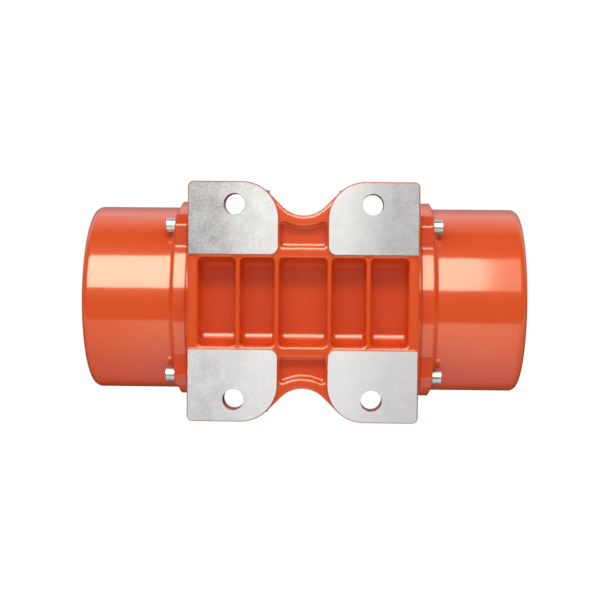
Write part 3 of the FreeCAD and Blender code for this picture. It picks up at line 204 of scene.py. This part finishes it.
def bare_pads(tree, across, along):
    """Colour, roughness and fine height of the machined pads, which differ between the two sides."""
    blotches = noise(tree, BLOTCH_GRAIN, 5, roughness=0.7)
    scratches = noise(tree, SCRATCH_GRAIN, 3, stretch=(0.5, 1, 1), roughness=0.8)
    mottle = compute(tree, "MULTIPLY", compute(tree, "ADD", blotches, scratches), 0.5)
    scratched = remap(tree, across, *SCRATCHED, 1, LEAST_SCRATCHED)
    tone = compute(tree, "SUBTRACT", remap(tree, mottle, *MOTTLE, 0, 1), 0.5)
    tone = compute(tree, "ADD", compute(tree, "MULTIPLY", tone, scratched), 0.5)
    front = mix(tree, tone, *PADS_FRONT)
    clean = remap(tree, across, *STAINED, 1, LEAST_CLEAN)
    front = mix(tree, clean, PADS_FRONT[1], front)
    rear = mix(tree, tone, *PADS_REAR)
    colour = mix(tree, remap(tree, along, *PAD_SIDES, 0, 1), front, rear)
    # the pads' tone turns lighter towards the scallops, near the middle of the shaft
    lightened = remap(tree, compute(tree, "ABSOLUTE", across), *LIGHTER_INSIDE, 0, MOST_LIGHTENED)
    colour = mix(tree, lightened, colour, PAD_INNER_TONE)
    # painted shade: a dark rim where the rounded normal turns away at the pads' edges, broken up by noise
    rim = near_edge(tree, soft_edges(tree, RIM_EDGE))
    left = remap(tree, noise(tree, RIM_BREAK_GRAIN, 3), *RIM_BREAK, LEAST_RIM, 1)
    colour = mix(tree, compute(tree, "MULTIPLY", rim, left), colour, PAD_RIM_SHADE)
    return colour, remap(tree, scratches, *NOISE_RANGE, *PAD_ROUGHNESS), scratches


def coves_painted_shade(tree, along, height):
    """How much coat the enamel loses in the pockets' coves: painted shade in the gloss."""
    front = remap(tree, along, *COVES_FRONT, 0, 1)
    rear = remap(tree, along, *COVES_REAR, 0, 1)
    inside = remap(tree, compute(tree, "ABSOLUTE", along), *POCKET_SIDE, 0, COVE_SHADE)
    dull = compute(tree, "MULTIPLY", compute(tree, "MAXIMUM", front, rear), inside)
    return compute(tree, "MULTIPLY", dull, remap(tree, height, *POCKET_DEPTH, 0, 1))


def painted_iron(name, pads=False):
    """Glossy orange enamel over a cast surface. With pads, the faces at the very bottom are bare metal."""
    material, tree, shader = new_material(name)
    colour = mix(tree, noise(tree, TONE_GRAIN, 1), DEEP_ORANGE, ORANGE)
    gloss = remap(tree, noise(tree, GLOSS_GRAIN, 1), *NOISE_RANGE, *ENAMEL_ROUGHNESS)
    depth = CAST_WAVE_DEPTH if pads else WAVE_DEPTH
    surface = bump(tree, noise(tree, WAVE_GRAIN, 1), depth, soft_edges(tree, ENAMEL_EDGE))
    shader.inputs["Specular IOR Level"].default_value = ENAMEL_SPECULAR
    shader.inputs["Coat Roughness"].default_value = COAT_ROUGHNESS
    shader.inputs["Coat IOR"].default_value = COAT_IOR
    if pads:
        across, along, height = own_place(tree)
        ragged = compute(tree, "MULTIPLY", noise(tree, RAGGED_GRAIN, 2), PAD_RAGGED)
        bare = compute(tree, "LESS_THAN", compute(tree, "SUBTRACT", height, ragged), PAD_TOP)
        metal_colour, rough_metal, scratches = bare_pads(tree, across, along)
        tooled = bump(tree, scratches, FINE_GRAIN_DEPTH, soft_edges(tree, MACHINED_EDGE))
        colour = mix(tree, bare, colour, metal_colour)
        gloss = mix(tree, bare, gloss, rough_metal, "FLOAT")
        surface = mix(tree, bare, surface, tooled, "VECTOR")
        painted = compute(tree, "SUBTRACT", 1.0, bare)
        # painted shade: the coat's gloss is taken away in the pockets' coves
        coat = compute(tree, "SUBTRACT", painted, coves_painted_shade(tree, along, height))
        link(tree, coat, shader.inputs["Coat Weight"])
        link(tree, compute(tree, "MULTIPLY", bare, PAD_METALLIC), shader.inputs["Metallic"])
    else:
        shader.inputs["Coat Weight"].default_value = 1.0
    link(tree, colour, shader.inputs["Base Color"])
    link(tree, gloss, shader.inputs["Roughness"])
    link(tree, surface, shader.inputs["Normal"])
    link(tree, surface, shader.inputs["Coat Normal"])
    return material


def metal(name, bright, dull, smooth, rough, stretch=(1, 1, 1), grain=0.001, depth=0.00001):
    """Bare or plated metal with fine tool marks: two tones, a range of roughness, and soft edges."""
    material, tree, shader = new_material(name)
    marks = noise(tree, grain, 4, stretch, 0.6)
    patches = remap(tree, noise(tree, PATCH_GRAIN, 4), *PATCH_RANGE, 0, 1)
    colour = mix(tree, patches, bright + (1,), dull + (1,))
    link(tree, colour, shader.inputs["Base Color"])
    link(tree, remap(tree, marks, *NOISE_RANGE, smooth, rough), shader.inputs["Roughness"])
    link(tree, bump(tree, marks, depth, soft_edges(tree, SMALL_EDGE)), shader.inputs["Normal"])
    shader.inputs["Metallic"].default_value = 1.0
    return material


def moulded(name, light, dark, smooth, rough):
    """Rubber or plastic with a fine moulded grain."""
    material, tree, shader = new_material(name)
    grain = noise(tree, MOULD_GRAIN, 3)
    colour = mix(tree, noise(tree, MOULD_TONE_GRAIN, 3), light + (1,), dark + (1,))
    link(tree, colour, shader.inputs["Base Color"])
    link(tree, remap(tree, grain, *NOISE_RANGE, smooth, rough), shader.inputs["Roughness"])
    surface = bump(tree, grain, FINE_GRAIN_DEPTH, soft_edges(tree, SMALL_EDGE))
    link(tree, surface, shader.inputs["Normal"])
    return material


def striped_metal(name, light, dark, axis, period):
    """Metal in thin layers along an axis, such as a laminated core or a wound coil."""
    material, tree, shader = new_material(name)
    wave = tree.nodes.new("ShaderNodeTexWave")
    wave.bands_direction = axis
    wave.inputs["Scale"].default_value = math.pi / 10 / period
    wave.inputs["Distortion"].default_value = 0.6
    tree.links.new(place(tree), wave.inputs["Vector"])
    lines = wave.outputs["Fac"]
    link(tree, mix(tree, lines, dark + (1,), light + (1,)), shader.inputs["Base Color"])
    link(tree, remap(tree, lines, 0, 1, 0.5, 0.35), shader.inputs["Roughness"])
    link(tree, bump(tree, lines, LAYER_DEPTH), shader.inputs["Normal"])
    shader.inputs["Metallic"].default_value = 1.0
    return material


def make_materials():
    """One material for each slot of the record."""
    return {
        "painted_iron": painted_iron("painted_iron"),
        "grey_iron": metal("grey_iron", (0.33, 0.33, 0.34), (0.20, 0.20, 0.21), 0.4, 0.6,
                           grain=0.003, depth=0.00005),
        "zinc_steel": metal("zinc_steel", (0.70, 0.75, 0.86), (0.52, 0.57, 0.68), 0.30, 0.42),
        "black_steel": metal("black_steel", (0.06, 0.06, 0.065), (0.03, 0.03, 0.033), 0.3, 0.45),
        "turned_steel": metal("turned_steel", (0.62, 0.62, 0.62), (0.48, 0.48, 0.49), 0.2, 0.35, (6, 1, 1)),
        "bearing_steel": metal("bearing_steel", (0.70, 0.70, 0.70), (0.60, 0.60, 0.61), 0.1, 0.2),
        "spring_steel": metal("spring_steel", (0.16, 0.15, 0.15), (0.09, 0.09, 0.10), 0.3, 0.45),
        "laminations": striped_metal("laminations", (0.34, 0.34, 0.36), (0.12, 0.12, 0.13), "X", 0.0009),
        "cast_aluminium": metal("cast_aluminium", (0.74, 0.74, 0.75), (0.60, 0.61, 0.62), 0.35, 0.5,
                                grain=0.002),
        "copper_winding": striped_metal("copper_winding", (0.72, 0.28, 0.12), (0.30, 0.09, 0.04),
                                        "DIAGONAL", 0.0012),
        "brass": metal("brass", (0.75, 0.55, 0.24), (0.58, 0.40, 0.16), 0.22, 0.36),
        "nickel_brass": metal("nickel_brass", (0.68, 0.66, 0.60), (0.52, 0.50, 0.45), 0.2, 0.32),
        "black_rubber": moulded("black_rubber", (0.03, 0.03, 0.03), (0.016, 0.016, 0.016), 0.55, 0.75),
        "dark_plastic": moulded("dark_plastic", (0.035, 0.035, 0.038), (0.02, 0.02, 0.022), 0.35, 0.5),
    }


def dress_frame():
    """Give every CAD node the material of its slot. The housing's own has the machined pads as well."""
    materials = make_materials()
    housing = painted_iron("painted_iron_machined", pads=True)
    for subpart in frame["record"]["subparts"]:
        node = frame["nodes"][subpart["node"]]
        chosen = housing if subpart["node"] == "motor_housing" else materials[subpart["material_slot"]]
        node.data.materials.clear()
        node.data.materials.append(chosen)


# ---------------------------------------------------------------- stage, lights and camera

def make_floor():
    """A pale floor just under the feet, which only shows from above, so that the underside can be seen."""
    bpy.ops.mesh.primitive_plane_add(size=FLOOR_SIZE, location=(0, 0, FLOOR_Z))
    floor = bpy.context.object
    floor.name = "floor"
    material, tree, shader = new_material("floor")
    shader.inputs["Roughness"].default_value = FLOOR_ROUGHNESS
    link(tree, mix(tree, noise(tree, FLOOR_GRAIN, 2), *FLOOR_TONES), shader.inputs["Base Color"])
    rays = tree.nodes.new("ShaderNodeLightPath")
    geometry = tree.nodes.new("ShaderNodeNewGeometry")
    from_above = compute(tree, "SUBTRACT", 1.0, geometry.outputs["Backfacing"])
    shown = compute(tree, "MULTIPLY", rays.outputs["Is Camera Ray"], from_above)
    clear = tree.nodes.new("ShaderNodeBsdfTransparent")
    join = tree.nodes.new("ShaderNodeMixShader")
    link(tree, shown, join.inputs[0])
    tree.links.new(clear.outputs[0], join.inputs[1])
    tree.links.new(shader.outputs[0], join.inputs[2])
    tree.links.new(join.outputs[0], tree.nodes["Material Output"].inputs["Surface"])
    floor.data.materials.append(material)


def make_world():
    """White to the camera. The gloss sees a studio that is dark round the camera and bright towards +Y."""
    world = bpy.data.worlds.new("studio")
    bpy.context.scene.world = world
    world.use_nodes = True
    tree = world.node_tree
    background = tree.nodes["Background"]
    coordinates = tree.nodes.new("ShaderNodeTexCoord")
    split = tree.nodes.new("ShaderNodeSeparateXYZ")
    tree.links.new(coordinates.outputs["Generated"], split.inputs[0])
    # the angle round the shaft from straight down: towards -Y it is positive
    sideways = compute(tree, "MULTIPLY", split.outputs["Y"], -1.0)
    downwards = compute(tree, "MULTIPLY", split.outputs["Z"], -1.0)
    angle = compute(tree, "DEGREES", compute(tree, "ARCTAN2", sideways, downwards))
    ramp = tree.nodes.new("ShaderNodeValToRGB")
    elements = ramp.color_ramp.elements
    while len(elements) < len(SURROUNDINGS):
        elements.new(0.5)
    for element, (degrees, colour) in zip(elements, SURROUNDINGS):
        element.position = (degrees + 180) / 360
        element.color = [level / BRIGHTEST for level in colour] + [1]
    link(tree, remap(tree, angle, -180, 180, 0, 1), ramp.inputs["Fac"])
    rays = tree.nodes.new("ShaderNodeLightPath")
    low, high = ((AMBIENT - AMBIENT_LEAN) / BRIGHTEST, (AMBIENT + AMBIENT_LEAN) / BRIGHTEST)
    ambient = remap(tree, split.outputs["Y"], -1, 1, low, high)
    side = remap(tree, compute(tree, "ABSOLUTE", split.outputs["X"]), *SIDE_FALL, 1.0, SIDE_LEVEL)
    front = compute(tree, "GREATER_THAN", angle, 0.0)
    reflected = mix(tree, compute(tree, "MAXIMUM", side, front), (0, 0, 0, 1), ramp.outputs["Color"])
    lit = mix(tree, rays.outputs["Is Glossy Ray"], ambient, reflected)
    straight = compute(tree, "MAXIMUM", rays.outputs["Is Camera Ray"], rays.outputs["Is Transmission Ray"])
    white = [1 / BRIGHTEST] * 3 + [1]
    link(tree, mix(tree, straight, lit, white), background.inputs["Color"])
    background.inputs["Strength"].default_value = BRIGHTEST


def softbox(name, location, target, size, radiance, colour=(1, 1, 1)):
    """A rectangular lamp that faces a point, long side along the shaft."""
    lamp = bpy.data.lights.new(name, "AREA")
    lamp.shape = "RECTANGLE"
    lamp.size, lamp.size_y = size
    lamp.energy = radiance * math.pi * size[0] * size[1]
    lamp.color = colour
    holder = bpy.data.objects.new(name, lamp)
    bpy.context.scene.collection.objects.link(holder)
    ahead = (Vector(target) - Vector(location)).normalized()
    across = Vector((1, 0, 0))
    up = across.cross(ahead)
    turn = Matrix((across, up, -ahead)).transposed().to_4x4()
    holder.matrix_world = Matrix.Translation(location) @ turn
    holder.visible_camera = False
    return holder


def below(angle):
    """A place under the motor, off the camera's line towards -Y by an angle."""
    return 0, -LAMP_DISTANCE * math.sin(angle), SHAFT_Z - LAMP_DISTANCE * math.cos(angle)


def make_lights():
    target = (0, 0, SHAFT_Z)
    for step, (start, end, radiance) in enumerate(GLOSS_STRIPS):
        shift = Vector(((start + end) / 2, 0, 0))
        gloss = softbox("gloss_softbox_%d" % step, Vector(below(GLOSS_ANGLE)) + shift,
                        Vector(target) + shift, (end - start, GLOSS_HEIGHT), radiance, GLOSS_COLOUR)
        gloss.visible_diffuse = False
    softbox("key_softbox", below(KEY_ANGLE), target, KEY_SIZE, KEY_RADIANCE).visible_glossy = False
    softbox("top_softbox", TOP_PLACE, target, TOP_SIZE, TOP_RADIANCE).visible_glossy = False


def make_camera():
    """Under the feet, looking up along +Z with -Y at the top of the picture, and a slight lean."""
    camera = bpy.data.cameras.new("camera")
    camera.lens = LENS
    holder = bpy.data.objects.new("camera", camera)
    bpy.context.scene.collection.objects.link(holder)
    lean_x, lean_y, lean_z = CAMERA_LEAN
    turn = (Matrix.Rotation(math.pi + lean_x, 4, "X") @ Matrix.Rotation(lean_y, 4, "Y")
            @ Matrix.Rotation(lean_z, 4, "Z"))
    back = Vector((-CAMERA_OFFSET[0], -CAMERA_OFFSET[1], CAMERA_DISTANCE))
    holder.matrix_world = Matrix.Translation(turn @ back) @ turn
    bpy.context.scene.camera = holder


bpy.context.scene.view_settings.view_transform = "Standard"
dress_frame()
make_floor()
make_world()
make_lights()
make_camera()
